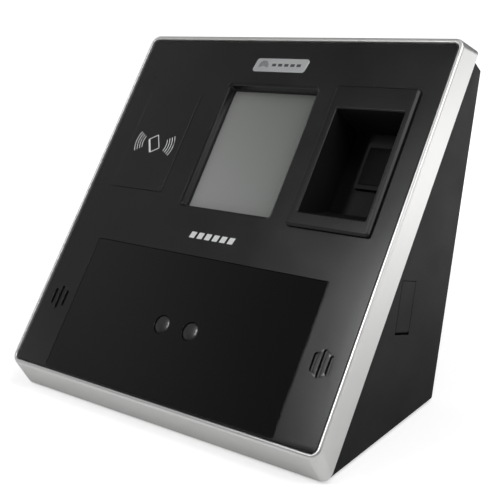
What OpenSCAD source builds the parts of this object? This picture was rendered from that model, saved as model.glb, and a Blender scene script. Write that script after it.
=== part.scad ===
// Wedge-shaped fingerprint, face and card terminal, standing on its base.
// X is to the right, Y to the back, Z up. Origin: bottom centre of the whole object.

/* [Front panel] */
// Width of the black front panel opening inside the silver frame
panel_w = 197.2; // [196:0.2:198]
// Height of that opening, measured along the panel
panel_h = 199.8; // [198:0.2:202]
// Angle of the front panel above the table, degrees
panel_lean = 49.55; // [49:0.05:50]
// Thickness of the front panel moulding
panel_t = 2.6; // [2.4:0.1:2.8]
// Gap between the front panel and the frame rim
panel_gap = 0.5; // [0.3:0.1:0.6]
// Corner radius of the frame opening
panel_r = 3.5; // [3:0.5:4]
// How far the frame opening reaches below the panel's zero line
panel_drop = 0.3; // [0.2:0.1:0.4]

/* [Silver frame] */
// Width of the frame rim at the two sides
rim_side = 1.9; // [1.8:0.1:2.1]
// Width of the frame rim at the top
rim_top = 2.3; // [2.1:0.1:2.5]
// Width of the frame rim at the bottom
rim_low = 2; // [1.8:0.1:2.2]
// How far the rim stands in front of the panel
rim_proud = 0.8; // [0.6:0.1:1]
// Depth of the frame behind the panel face
frame_depth = 14.6; // [14:0.1:15]
// How far the chin reaches below the panel at the back of the frame
chin_low = 8.5; // [8:0.1:9]
// How far the top of the frame reaches above the panel at the back of the frame
crown_high = 5.7; // [5:0.1:6]
// Outer corner radius of the frame
frame_r = 5.4; // [5:0.1:5.8]
// Corner radius at the back of the frame's top
crown_r = 3; // [2.5:0.1:3.5]

/* [Rear housing] */
// Wall thickness of the rear housing
wall = 2.5; // [2.3:0.1:2.7]
// Step from the frame's side down to the housing's side
housing_inset = 2; // [1.8:0.1:2.2]
// Depth of the housing's top, behind the panel face
top_depth = 26.8; // [26.4:0.1:27.4]
// How far the housing's top lies above the panel opening
top_rise = 2.4; // [2.2:0.1:2.6]
// Lean of the back wall out from vertical, degrees
back_lean = 19.1; // [18.9:0.1:19.3]
// Height of the rubber feet below the base plate
foot_proud = 2; // [1.8:0.1:2.2]
// Gap between the frame's lowest edge and the table
chin_gap = 1; // [0.8:0.1:1.2]

/* [Display] */
// Half width of the display window
lcd_half = 27.9; // [27.5:0.1:28.3]
// Bottom of the display window, up the panel
lcd_low = 101.8; // [101:0.1:102]
// Top of the display window, up the panel
lcd_high = 171.7; // [171:0.1:172.5]
// Depth of the touch glass below the panel face
glass_depth = 5.2; // [5.1:0.1:5.5]

/* [Fingerprint reader] */
// Distance of the reader's centre from the middle of the panel
reader_x = 64.8; // [64.6:0.1:65]
// Half width of the finger opening
finger_half = 18.9; // [18.5:0.1:19.2]
// Bottom of the finger opening, up the panel
finger_low = 105.4; // [105:0.1:106]
// Top of the finger opening, up the panel
finger_high = 160.9; // [160:0.1:161]
// Height of the raised surround
surround_proud = 2.5; // [2.3:0.1:2.8]
// Depth of the finger well below the panel face
well_depth = 22; // [21:0.5:23]

/* [Infrared window] */
// Half width of the dark window
window_half = 75; // [74:0.5:75]
// Lower edge of the dark window, up the panel
window_low = 1.3; // [1.2:0.1:1.5]
// Upper edge of the dark window, up the panel
window_high = 74.7; // [74:0.1:75]
// Distance of each camera from the middle
camera_x = 9.3; // [9:0.1:9.6]
// Height of the cameras, up the panel
camera_v = 37.4; // [37:0.1:38]

/* [Fixings] */
// Diameter of the wall screw holes in the bracket
wall_screw_d = 4.5; // [4.2:0.1:5]
// Distance between the wall screw holes across the bracket
wall_screw_x = 70; // [66:1:74]
// Distance between the wall screw holes up the bracket
wall_screw_w = 40; // [38:1:42]
// Travel of the tamper plunger
tamper_travel = 1.5; // [1.3:0.1:1.6]
// Travel of the reset button
reset_travel = 0.8; // [0.6:0.1:0.9]

/* [Hidden] */
$fn = 48;
eps = 0.02;

wedge = 90 - panel_lean - back_lean;      // angle between the panel and the back wall
base_z = foot_proud;
top_v = panel_h + top_rise;               // top wall of the housing, up the panel
half = panel_w / 2;
frame_half = half + rim_side;
housing_half = frame_half - housing_inset;
inner_half = housing_half - wall;

// Offsets along Y and Z of a point that is v up the panel and n in front of it.
function lean_y(v, n) = v * cos(panel_lean) - n * sin(panel_lean);
function lean_z(v, n) = v * sin(panel_lean) + n * cos(panel_lean);

front_reach = lean_y(-rim_low, rim_proud);
back_reach = lean_y(top_v, -top_depth);
foot_y = -(front_reach + back_reach) / 2; // panel's lower inner edge
foot_z = chin_gap - lean_z(-chin_low, -frame_depth);
base_v = (base_z - chin_gap) / sin(panel_lean) - chin_low; // housing's lower front edge
back_top_z = foot_z + lean_z(top_v, -top_depth);
back_foot_y = foot_y + back_reach - (back_top_z - base_z) * tan(back_lean);

function side(v, n) = [foot_y + lean_y(v, n), foot_z + lean_z(v, n)];
// Outer face of the back wall, as a depth behind the panel face.
function back_n(v) = -top_depth - (top_v - v) * tan(wedge);

ledge_n = -panel_t - 0.8;                 // front of the ledge that the panel seal lies on
ledge_t = 2;
ledge_w = 4;
collar_n = glass_depth - 1.7;             // depth of the collar round the display window
lip_out = 2.1;                            // shallow lip round the display window
lip_in = 0.8;
lip_depth = 0.85;
surround_low = finger_low - 7.4;
surround_high = finger_high + 13.1;
surround_left = reader_x - finger_half - 5.1;
surround_right = reader_x + finger_half + 3.7;
surround_bevel = 1.1;
surround_r = 1.6;
cup_t = 1.8;
sensor_v = finger_low + 36.8;
sensor_x = reader_x + 0.2;
platen_n = -19.4;
board_n = -16;                            // front face of the main board
board_t = 1.6;
recess_half = 52;                         // wall bracket recess in the back wall
recess_low = 50;
recess_high = 120;
recess_depth = 4;
bay_half = 56;                            // connector bay in the back wall
bay_low = 8;
bay_high = 34;
bay_depth = 12;
bay_floor = 2;
socket_m = -bay_depth - 0.5;              // faces of the sockets in the bay
deck_w = 10;                              // underside of the connector board
door_low = 33.5;                          // hinge of the USB door, up the back wall
door_high = 56;
door_back = -35.5;
door_front = -47.5;
door_t = 1.5;
door_r = 1.9;
hinge_x = housing_half - door_r;
pin_r = 0.75;
tamper_x = 26;
tamper_w = 98;
reset_x = 48;
reset_w = 24;
base_screw_x = inner_half - 4.6;
base_screw_y = [18, 52, 84];
boss_spots = [for (x = [-84, 34], v = [90, 184]) [x, v]];
ear_spots = [for (x = [-91, 91], v = [8, 95, 160]) [x, v]];
top_screw_x = 80;
top_screw_v = 193;
head_n = -20;                             // seat of the housing screws
foot_r = 6.9;
foot_spots = [for (x = [-80, 80], y = [22, 82]) [x, y]];
slot_spots = [[81.6, 8.8], [85.8, 13.1], [89.9, 8.8]];
slot_v = 38.1;
mic_spot = [-86, 174.8];
mic_r = 0.6;
slot_half = 1;                            // sound grooves and the slit at the foot of each
slot_depth = 1;
slit_left = 0.3;
slit_right = 0.95;
window_t = 1.6;                           // dark window
window_fit = 0.3;
pad_edges = [-82.9, -45.5, 106, 165];     // card pad: left, right, bottom, top
pad_proud = 0.4;
trim_seat = 0.7;                          // depth of the pad's seat
badge_v = 185;
badge_seat = 0.5;
badge_half = [17, 4];
cup_fit = 0.2;
pilot_r = 1;                              // holes for small screws
insert_r = 1.25;                          // holes for larger screws
bracket_spots = [for (x = [-36, 36], v = [lcd_low - 5, lcd_high + 6]) [x, v]];
bracket_front = -9.7;
post_n = -6.6;                            // rear ends of the panel's posts
well = -well_depth;
rear = board_n - board_t;                 // rear face of the main board
cell_spot = [-71, 158];                   // coin cell, 20 mm across and 3.2 mm thick
cell_r = 10;
cell_t = 3.2;
base_t = 2.2;                             // base plate
pack_x = [-42, 24];                       // battery pack on the base plate
pack_y = [foot_y + 30, foot_y + 66];
pack_z = base_z + base_t;
pack_t = 13;
deck_t = 1.6;
jack_x = [-10, 6];                        // left and right ends of the sockets in the bay
power_x = [-34.2, -24.4];
terminal_x = [14, 45];
hook_spots = [-35, 35];                   // hooks of the wall bracket
hook_w = 108;
wall_screw_mid = 80;
lock_w = recess_low + 6;                  // screw that locks the bracket
tamper_r = 1.6;
reset_r = 1.95;
deck_top = deck_w + deck_t;
lip = 6.2;                                // rim of the housing round the base plate

// Places its children in the panel's frame: x right, y up the panel, z out of its face.
module on_panel() { translate([0, foot_y, foot_z]) rotate([panel_lean, 0, 0]) children(); }

// Places its children in the back wall's frame: x left, y up the wall, z out of the wall.
module on_back() {
    translate([0, back_foot_y, base_z]) rotate([90 + back_lean, 0, 180]) children();
}

// Extrudes an outline drawn in the Y-Z plane from one X to another.
module along_x(x0, x1) {
    translate([x0, 0, 0]) rotate([90, 0, 90]) linear_extrude(x1 - x0) children();
}

module round_rect(x0, x1, y0, y1, r) {
    translate([x0 + r, y0]) square([x1 - x0 - 2 * r, y1 - y0]);
    translate([x0, y0 + r]) square([x1 - x0, y1 - y0 - 2 * r]);
    for (x = [x0 + r, x1 - r], y = [y0 + r, y1 - r]) translate([x, y]) circle(r);
}

module slab(x0, x1, y0, y1, z0, z1, r) {
    translate([0, 0, z0]) linear_extrude(z1 - z0) round_rect(x0, x1, y0, y1, r);
}

module block(x0, x1, y0, y1, z0, z1) {
    translate([x0, y0, z0]) cube([x1 - x0, y1 - y0, z1 - z0]);
}

module rod(x, y, z0, z1, r) { translate([x, y, z0]) cylinder(h = z1 - z0, r = r); }

module tube(x, y, z0, z1, r, bore) {
    difference() {
        rod(x, y, z0, z1, r);
        rod(x, y, z0 - eps, z1 + eps, bore);
    }
}

// Eight-sided wire through a list of points, with a ball at each bend.
module wire(points, r) {
    for (i = [0 : len(points) - 2]) {
        a = points[i];
        d = points[i + 1] - a;
        translate(a) rotate([0, acos(d[2] / norm(d)), atan2(d[1], d[0])]) cylinder(h = norm(d), r = r, $fn = 8);
        if (i > 0) translate(a) sphere(r * 1.08, $fn = 8);
    }
}

// A pan-head screw along z: head above z = 0, shank below.
module screw(head_r, head_h, shank_r, shank_l) {
    difference() {
        union() {
            cylinder(h = head_h, r = head_r);
            translate([0, 0, -shank_l]) cylinder(h = shank_l + eps, r = shank_r);
        }
        for (a = [0, 90]) rotate([0, 0, a]) block(-head_r * 0.6, head_r * 0.6, -0.3, 0.3, head_h * 0.5, head_h + 1);
    }
}

/* ---- Front ---- */

module silver_frame() {
    color("silver") on_panel() {
        difference() {
            // the outside, which flares out below into the chin
            hull() for (s = [-1, 1]) {
                x = s * (frame_half - frame_r);
                rod(x, panel_h + rim_top - frame_r, rim_proud - 0.3, rim_proud, frame_r, $fn = 64);
                rod(x, frame_r - rim_low, rim_proud - 0.3, rim_proud, frame_r, $fn = 64);
                rod(x, frame_r - chin_low, -frame_depth, 0.3 - frame_depth, frame_r, $fn = 64);
                rod(s * (frame_half - crown_r), panel_h + crown_high - crown_r, -frame_depth,
                    0.3 - frame_depth, crown_r, $fn = 64);
            }
            slab(-half, half, -panel_drop, panel_h, ledge_n, rim_proud + 1, panel_r);
            slab(-half + ledge_w, half - ledge_w, ledge_w, panel_h - ledge_w, -frame_depth - 1, ledge_n + 1, panel_r);
            slab(-half, half, 0, panel_h, -frame_depth - 1, ledge_n - ledge_t, panel_r);
            // pocket in the flared top, between the screw posts
            translate([-top_screw_x + 8, 0, 0]) rotate([90, 0, 90]) linear_extrude(2 * top_screw_x - 16)
                polygon([[panel_h - 0.5, ledge_n - ledge_t], [panel_h + 1, ledge_n - ledge_t],
                    [panel_h + crown_high - 2.8, 2 - frame_depth], [panel_h - 0.5, 2 - frame_depth]]);
            // hollow of the chin, behind its front wall
            translate([-half + ledge_w, 0, 0]) rotate([90, 0, 90]) linear_extrude(panel_w - 2 * ledge_w)
                polygon([[0.5, ledge_n - ledge_t], [-2, ledge_n - ledge_t],
                    [-chin_low + 2.4, -frame_depth - eps], [0.5, -frame_depth - eps]]);
        }
        for (p = ear_spots) difference() {
            union() {
                rod(p[0], p[1], ledge_n - ledge_t, ledge_n, ledge_w);
                block(min(p[0], sign(p[0]) * (half + 0.5)), max(p[0], sign(p[0]) * (half + 0.5)),
                    p[1] - ledge_w, p[1] + ledge_w, ledge_n - ledge_t, ledge_n);
            }
            rod(p[0], p[1], ledge_n - ledge_t - 1, ledge_n + 1, pilot_r + 0.2);
        }
        for (x = [-top_screw_x, top_screw_x]) difference() {
            union() {
                rod(x, top_screw_v, -frame_depth + 0.4, ledge_n - eps, 3.5);
                block(x - 2, x + 2, top_screw_v, panel_h + 0.5, -frame_depth + 0.4, ledge_n - ledge_t + eps);
            }
            rod(x, top_screw_v, -frame_depth - 1, ledge_n - 2.5, 1.3);
        }
    }
}

module front_panel() {
    color("#26282a") on_panel() difference() {
        union() {
            slab(-half + panel_gap, half - panel_gap, panel_gap - panel_drop, panel_h - panel_gap,
                -panel_t, 0, panel_r - panel_gap);
            slab(-lcd_half - 4, lcd_half + 4, lcd_low - 4, lcd_high + 4, -collar_n, -panel_t + eps, 2);
            for (p = boss_spots) rod(p[0], p[1], post_n, -panel_t + eps, 3.5);
            for (p = ear_spots) rod(p[0], p[1], ledge_n + eps, -panel_t + eps, 2.6);
            for (p = bracket_spots) rod(p[0], p[1], bracket_front, -panel_t + eps, 2.6);
        }
        // display window with its sloping sides
        slab(-lcd_half, lcd_half, lcd_low, lcd_high, -collar_n - 1, 1, 0.8);
        hull() {
            slab(-lcd_half - lip_out, lcd_half + lip_out, lcd_low - lip_out, lcd_high + lip_out, 0, eps, 1);
            slab(-lcd_half - lip_in, lcd_half + lip_in, lcd_low - lip_in, lcd_high + lip_in, -lip_depth,
                eps - lip_depth, 0.8);
        }
        hull() {
            slab(-lcd_half - lip_in, lcd_half + lip_in, lcd_low - lip_in, lcd_high + lip_in, -lip_depth,
                eps - lip_depth, 0.8);
            slab(-lcd_half, lcd_half, lcd_low, lcd_high, -collar_n, eps - collar_n, 0.8);
        }
        // opening for the fingerprint cup
        slab(reader_x - finger_half - cup_t - cup_fit, reader_x + finger_half + cup_t + cup_fit,
            finger_low - cup_t - cup_fit, finger_high + cup_t + cup_fit, -panel_t - 1, 1, 2);
        // seat and opening of the dark window
        slab(-window_half - window_fit, window_half + window_fit, window_low - 0.2, window_high + window_fit,
            -window_t, 1, 1.2);
        slab(-window_half + 8, window_half - 8, 8, window_high - 8, -panel_t - 1, 0, 3);
        // seats of the card pad and the badge
        slab(pad_edges[0] - 0.2, pad_edges[1] + 0.2, pad_edges[2] - 0.2, pad_edges[3] + 0.2, -trim_seat, 1, 1);
        translate([0, badge_v, -badge_seat]) linear_extrude(2) badge_outline(0.15);
        // sound slots and microphone hole
        for (s = [-1, 1], p = slot_spots) translate([s * p[0], slot_v, 0]) {
            slab(-slot_half, slot_half, -p[1] / 2, p[1] / 2, -slot_depth, 1, slot_half - 0.01);
            slab(slit_left, slit_right, slot_half - p[1] / 2, p[1] / 2 - slot_half, -panel_t - 1, 0, slit_left);
        }
        rod(mic_spot[0], mic_spot[1], -panel_t - 1, 1, mic_r);
        for (p = boss_spots) rod(p[0], p[1], post_n - 1, eps - panel_t, insert_r + 0.05);
        for (p = ear_spots) rod(p[0], p[1], ledge_n - 1, -1, pilot_r);
        for (p = bracket_spots) rod(p[0], p[1], bracket_front - 1, -4, pilot_r);
    }
}

module panel_seal() {
    color("#151515") on_panel() difference() {
        slab(-half + 0.8, half - 0.8, 0.8, panel_h - 0.8, ledge_n, -panel_t, panel_r - 0.8);
        slab(-half + 3.4, half - 3.4, 3.4, panel_h - 3.4, ledge_n - 1, 0, 2);
    }
}

module ir_window() {
    color("#0a0a0c") on_panel()
        slab(-window_half, window_half, window_low, window_high, -window_t, -0.05, 1);
}

module card_pad() {
    color("#2b2d2f") on_panel()
        slab(pad_edges[0], pad_edges[1], pad_edges[2], pad_edges[3], -trim_seat, pad_proud, 0.8);
}

module badge_outline(grow) {
    r = 2.2;
    slant = 1.5;
    hull() for (sx = [-1, 1], sy = [-1, 1])
        translate([sx * (badge_half[0] - r) + sy * slant, sy * (badge_half[1] - r)]) circle(r + grow, $fn = 32);
}

module badge_plate() {
    color("#c9ccce") on_panel() translate([0, badge_v, -badge_seat])
        linear_extrude(badge_seat + pad_proud) badge_outline(0);
}

/* ---- Display ---- */

module lcd_gasket() {
    color("#303030") on_panel() difference() {
        slab(-lcd_half - 3.6, lcd_half + 3.6, lcd_low - 3.6, lcd_high + 3.6, -glass_depth, -collar_n, 1);
        slab(0.3 - lcd_half, lcd_half - 0.3, lcd_low + 0.3, lcd_high - 0.3, -glass_depth - 1, 0, 0.6);
    }
}

module touch_glass() {
    color("#3c4444") on_panel()
        slab(-lcd_half - 3.3, lcd_half + 3.3, lcd_low - 3.3, lcd_high + 3.3, -glass_depth - 1.1, -glass_depth, 0.8);
}

module lcd_module() {
    back = -glass_depth - 4.4;
    color("#8e9496") on_panel() {
        slab(-31.9, 31.9, lcd_low - 4.6, lcd_high + 3.6, back, -glass_depth - 1.1, 0.6);
        slab(-31.5, 31.5, lcd_high + 3.5, lcd_high + 5.6, back + 1.6, back + 2.2, 0.4);
    }
}

module display_bracket() {
    front = bracket_front;
    t = 1;
    color("#b7babc") on_panel() difference() {
        slab(-39, 39, lcd_low - 8, lcd_high + 9, front - t, front, 2);
        slab(-24, 24, lcd_low + 8, lcd_high - 14, front - 2, front + 1, 3);
        for (p = bracket_spots) rod(p[0], p[1], front - 2, front + 1, pilot_r + 0.3);
    }
}

module display_flex() {
    t = 0.25;
    out = lcd_low - 4.6;                      // where the ribbon leaves the display
    bend = lcd_low - 9.5;
    front = -8.6;
    back = -15;
    r = (front - back) / 2;
    // ribbon that leaves the bottom of the display, turns back and plugs into the main board
    color("#c58a2a") on_panel() translate([-11, 0, 0]) rotate([90, 0, 90]) linear_extrude(22)
        difference() {
            union() {
                polygon([[out, front], [bend, front], [bend, back], [out, back]]);
                translate([bend, front - r]) circle(r);
            }
            polygon([[out + 0.1, front - t], [bend, front - t], [bend, back + t], [out + 0.1, back + t]]);
            translate([bend, front - r]) circle(r - t);
        }
    color("#e8e2d2") on_panel() block(-12.5, 12.5, lcd_low - 6, lcd_low - 1.5, board_n, back + 0.2);
}

/* ---- Fingerprint reader ---- */

module fingerprint_bezel() {
    color("#1f2123") on_panel() difference() {
        union() {
            hull() for (x = [surround_left + surround_r, surround_right - surround_r],
                v = [surround_low + surround_r, surround_high - surround_r]) {
                rod(x, v, 0, surround_proud - surround_bevel, surround_r);
                rod(x, v, 0, surround_proud, surround_r - surround_bevel);
            }
            slab(reader_x - finger_half - cup_t, reader_x + finger_half + cup_t, finger_low - cup_t,
                finger_high + cup_t, well - 2, eps, 2);
        }
        difference() {
            slab(reader_x - finger_half, reader_x + finger_half, finger_low, finger_high, well,
                surround_proud + 1, 0.8);
            // ramp for the finger at the lower end of the well
            translate([reader_x - finger_half - 1, 0, 0]) rotate([90, 0, 90])
                linear_extrude(2 * finger_half + 2)
                polygon([[finger_low - 1, -4], [finger_low, -4], [finger_low + 11, well - eps],
                    [finger_low - 1, well - eps]]);
        }
        block(sensor_x - 9.3, sensor_x + 9.3, sensor_v - 12.6, sensor_v + 12.6, well - 3, well + 1);
    }
}

module fingerprint_holder() {
    low = -33;
    color("#17181a") on_panel() difference() {
        slab(sensor_x - 9.1, sensor_x + 9.1, sensor_v - 12.4, sensor_v + 12.4, low, platen_n - 0.3, 0.8);
        slab(sensor_x - 7.7, sensor_x + 7.7, sensor_v - 10.1, sensor_v + 10.1, platen_n - 3.2, 0, 0.5);
        slab(sensor_x - 6, sensor_x + 6, sensor_v - 8, sensor_v + 8, low - 1, 0, 0.5);
    }
}

module fingerprint_platen() {
    color("#4b5a6c") on_panel()
        slab(sensor_x - 7.6, sensor_x + 7.6, sensor_v - 10, sensor_v + 10, platen_n - 3.2, platen_n, 0.5);
}

module fingerprint_board() {
    color("#1d6b3c") on_panel() {
        slab(sensor_x - 15, sensor_x + 15, sensor_v - 24, sensor_v + 14, -34.6, -33, 1);
        block(sensor_x - 2.5, sensor_x + 2.5, sensor_v - 4, sensor_v + 4, -33, -31);
    }
}

module fingerprint_cable() {
    color("#d9d4c4") on_panel() {
        translate([sensor_x - 22, sensor_v - 20, 0]) rotate([90, 0, 0]) linear_extrude(7)
            polygon([[8, -34.6], [0, -34.6], [-12, -24.6], [-29, -24.6], [-29, -25.1], [-12.2, -25.1],
                [-0.2, -35.1], [8, -35.1]]);
        block(sensor_x - 53.5, sensor_x - 48, sensor_v - 28, sensor_v - 19, -24.9, board_n - board_t);
    }
}

/* ---- Card reader ---- */

module card_antenna_board() {
    color("#22733f") on_panel() {
        slab(-83, -45, 107, 164, -4.2, -2.9, 1);
        // printed loop of the antenna
        for (k = [0 : 2]) difference() {
            slab(-81.5 + 2 * k, -46.5 - 2 * k, 108.5 + 2 * k, 162.5 - 2 * k, -4.35, -4.2 + eps, 2);
            slab(-80.6 + 2 * k, -47.4 - 2 * k, 109.4 + 2 * k, 161.6 - 2 * k, -5, -4, 1.5);
        }
    }
}

module antenna_lead() {
    color("#1c1c1c") on_panel()
        wire([[-60, 112, -4.9], [-60, 104, -6], [-60, 100, -12], [-60, 99, -15.9]], 0.5);
}

/* ---- Cameras and infrared lamps ---- */

module camera_board() {
    color("#1d6b3c") on_panel() slab(-24, 24, camera_v - 15, camera_v + 15, -21.6, -20, 1.5);
}

module camera_barrel(x) {
    color("#161616") on_panel() difference() {
        union() {
            slab(x - 8, x + 8, camera_v - 8, camera_v + 8, -20, -13, 1);
            rod(x, camera_v, -13.1, -3.2, 5.6);
        }
        rod(x, camera_v, -8, 0, 4.6);
        rod(x, camera_v, -19, -7, 3);
    }
}

module camera_lens(x) {
    dome_r = 8;
    color("#5d6470") on_panel() intersection() {
        rod(x, camera_v, -7.9, -3.4, 4.55);
        translate([x, camera_v, -4 - dome_r]) sphere(dome_r, $fn = 64);
    }
}

module camera_barrel_left() { camera_barrel(-camera_x); }
module camera_barrel_right() { camera_barrel(camera_x); }
module camera_lens_left() { camera_lens(-camera_x); }
module camera_lens_right() { camera_lens(camera_x); }

module camera_flex() {
    color("#c58a2a") on_panel() translate([-7, 0, 0]) rotate([90, 0, 90]) linear_extrude(14)
        polygon([[48, -21.6], [48, -24], [70, -24], [86, -19.8], [93, -19.8], [93, -20.1], [86, -20.1],
            [70, -24.3], [47.7, -24.3], [47.7, -21.6]]);
    color("#e8e2d2") on_panel() block(-8.5, 8.5, 89, 94, -20.1, board_n - board_t);
}

module ir_led_board(s) {
    color("#1d6b3c") on_panel() slab(s * 46 - 18, s * 46 + 18, 12, 62, -12.2, -10.6, 2);
}

module ir_led_board_left() { ir_led_board(-1); }
module ir_led_board_right() { ir_led_board(1); }

module ir_leds() {
    color("#2d2333") on_panel()
        for (s = [-1, 1], i = [-1 : 1], j = [0 : 3]) translate([s * 46 + i * 11, 18.5 + j * 12, 0]) {
            rod(0, 0, -10.6, -9.6, 2.9);
            rod(0, 0, -9.7, -6.5, 2.5);
            translate([0, 0, -6.5]) sphere(2.5);
        }
}

/* ---- Sound ---- */

module speaker(x) {
    color("#202124") on_panel() {
        difference() {
            slab(x - 7.6, x + 7.6, slot_v - 17, slot_v + 17, -9, -panel_t, 3);
            slab(x - 6.2, x + 6.2, slot_v - 15.6, slot_v + 15.6, -4.6, 0, 2.4);
        }
        // cone and magnet
        slab(x - 5.4, x + 5.4, slot_v - 13, slot_v + 13, -4.7, -4.2, 5.3);
        rod(x, slot_v, -11.5, -8.9, 6);
    }
}

module speaker_left() { speaker(-85.8); }
module speaker_right() { speaker(85.8); }

module speaker_leads() {
    color("#b03030") on_panel() for (s = [-1, 1])
        wire([[s * 85.8, slot_v + 12, -9.6], [s * 84, slot_v + 26, -12], [s * 62, slot_v + 40, -12],
            [s * 28, slot_v + 43, -16], [s * 26, slot_v + 45, -20], [s * 26, slot_v + 52, -18.3]], 0.6);
}

module microphone() {
    color("#3a3a3c") on_panel() difference() {
        union() {
            rod(mic_spot[0], mic_spot[1], -3.4, -panel_t, 3.8);
            rod(mic_spot[0], mic_spot[1], -5.6, -3.3, 3);
        }
        rod(mic_spot[0], mic_spot[1], -4, -1, 0.6);
    }
}

/* ---- Main board ---- */

module main_board() {
    color("#14592f") on_panel() difference() {
        slab(-88, 38, 86, 188, board_n - board_t, board_n, 2);
        for (p = boss_spots) rod(p[0], p[1], board_n - 3, board_n + 1, 1.6);
    }
}

module processor_shield() {
    x = -22;
    v = 138;
    half_w = 16;
    h = 3.4;
    t = 0.4;
    color("#c3c6c8") on_panel() difference() {
        slab(x - half_w, x + half_w, v - half_w, v + half_w, rear - h, rear, 1.5);
        slab(x - half_w + t, x + half_w - t, v - half_w + t, v + half_w - t, rear - h + t, rear + 1, 1.2);
        for (i = [-2 : 2], j = [-2 : 2]) rod(x + i * 4.5, v + j * 4.5, rear - h - 1, rear - h + 1, 0.9);
    }
}

module board_components() {
    color("#1b1c1e") on_panel() {
        for (i = [0 : 2]) block(-56, -42, 112 + 12 * i, 121 + 12 * i, rear - 1.2, rear);
        slab(-80, -62, 120, 138, rear - 1.6, rear, 0.6);
        for (i = [0 : 3]) rod(-54 + 9 * i, 176, rear - 6, rear, 3);
        block(0, 12, 160, 172, rear - 4.5, rear);
        block(18, 30, 158, 170, rear - 3, rear);
        block(-58, -46, 98, 106, rear - 2.4, rear);
    }
}

module coin_cell_holder() {
    color("#2a2a2c") on_panel() difference() {
        slab(cell_spot[0] - 13, cell_spot[0] + 13, cell_spot[1] - 12, cell_spot[1] + 12, rear - 5, rear, 2);
        rod(cell_spot[0], cell_spot[1], rear - 6, rear - 1, cell_r + 0.3);
    }
}

module coin_cell() {
    color("#d2d4d6") on_panel() rod(cell_spot[0], cell_spot[1], rear - 1 - cell_t, rear - 1, cell_r);
}

module board_standoffs() {
    color("#c9a64a") on_panel() for (p = boss_spots) translate([p[0], p[1], board_n]) {
        difference() {
            cylinder(h = post_n - board_n, r = 3, $fn = 6);
            translate([0, 0, -1]) cylinder(h = 6, r = insert_r);
        }
        translate([0, 0, post_n - board_n - eps]) cylinder(h = 3, r = insert_r);
    }
}

/* ---- Battery ---- */

module battery_pack() {
    color("#2e4f8c") slab(pack_x[0], pack_x[1], pack_y[0], pack_y[1], pack_z, pack_z + pack_t, 3);
}

module battery_strap() {
    t = 1.4;
    fit = 0.2;
    x = [-20, 6];
    toe = 6;                                  // feet of the strap on the base plate
    color("#3b3d40") difference() {
        block(x[0], x[1], pack_y[0] - toe, pack_y[1] + toe, pack_z, pack_z + pack_t + t);
        block(x[0] - 1, x[1] + 1, pack_y[0] - fit, pack_y[1] + fit, pack_z - 1, pack_z + pack_t + fit);
        for (y = [[pack_y[0] - toe - 1, pack_y[0] - t], [pack_y[1] + t, pack_y[1] + toe + 1]])
            block(x[0] - 1, x[1] + 1, y[0], y[1], pack_z + 1.5, pack_z + 30);
    }
}

module battery_lead() {
    x = 14;                                   // plug on the main board
    color("#b03030") wire([[pack_x[1], foot_y + 48, pack_z + 8], [31, foot_y + 48, pack_z + 9],
        [33, foot_y + 50, pack_z + 28], [31, foot_y + 60, pack_z + 48],
        [x, side(84, -24)[0], side(84, -24)[1]], [x, side(91, -18.5)[0], side(91, -18.5)[1]]], 0.8);
}

/* ---- Housing ---- */

module housing_side() {
    r = 5;
    t = r / tan((90 + back_lean) / 2);
    rim = back_foot_y - t;
    difference() {
        polygon([side(base_v, -frame_depth), side(top_v, -frame_depth), side(top_v, -top_depth),
            [back_foot_y, base_z]]);
        // rounded lower back edge
        difference() {
            polygon([[rim, base_z - 1], [rim, base_z + eps], [rim, base_z + r],
                [back_foot_y + t * sin(back_lean), base_z + t * cos(back_lean)],
                [back_foot_y + 3, base_z - 1]]);
            translate([rim, base_z + r]) circle(r);
        }
    }
}

module housing_hollow() {
    depth = wall / cos(wedge);
    lip_y = back_foot_y - lip;
    lip_z = base_z + base_t;
    polygon([side(-30, -frame_depth + 1), side(top_v - wall, -frame_depth + 1),
        side(top_v - wall, back_n(top_v - wall) + depth),
        [back_foot_y + base_t * tan(back_lean) - wall / cos(back_lean), lip_z], [lip_y, lip_z], [lip_y, -5]]);
}

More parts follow.
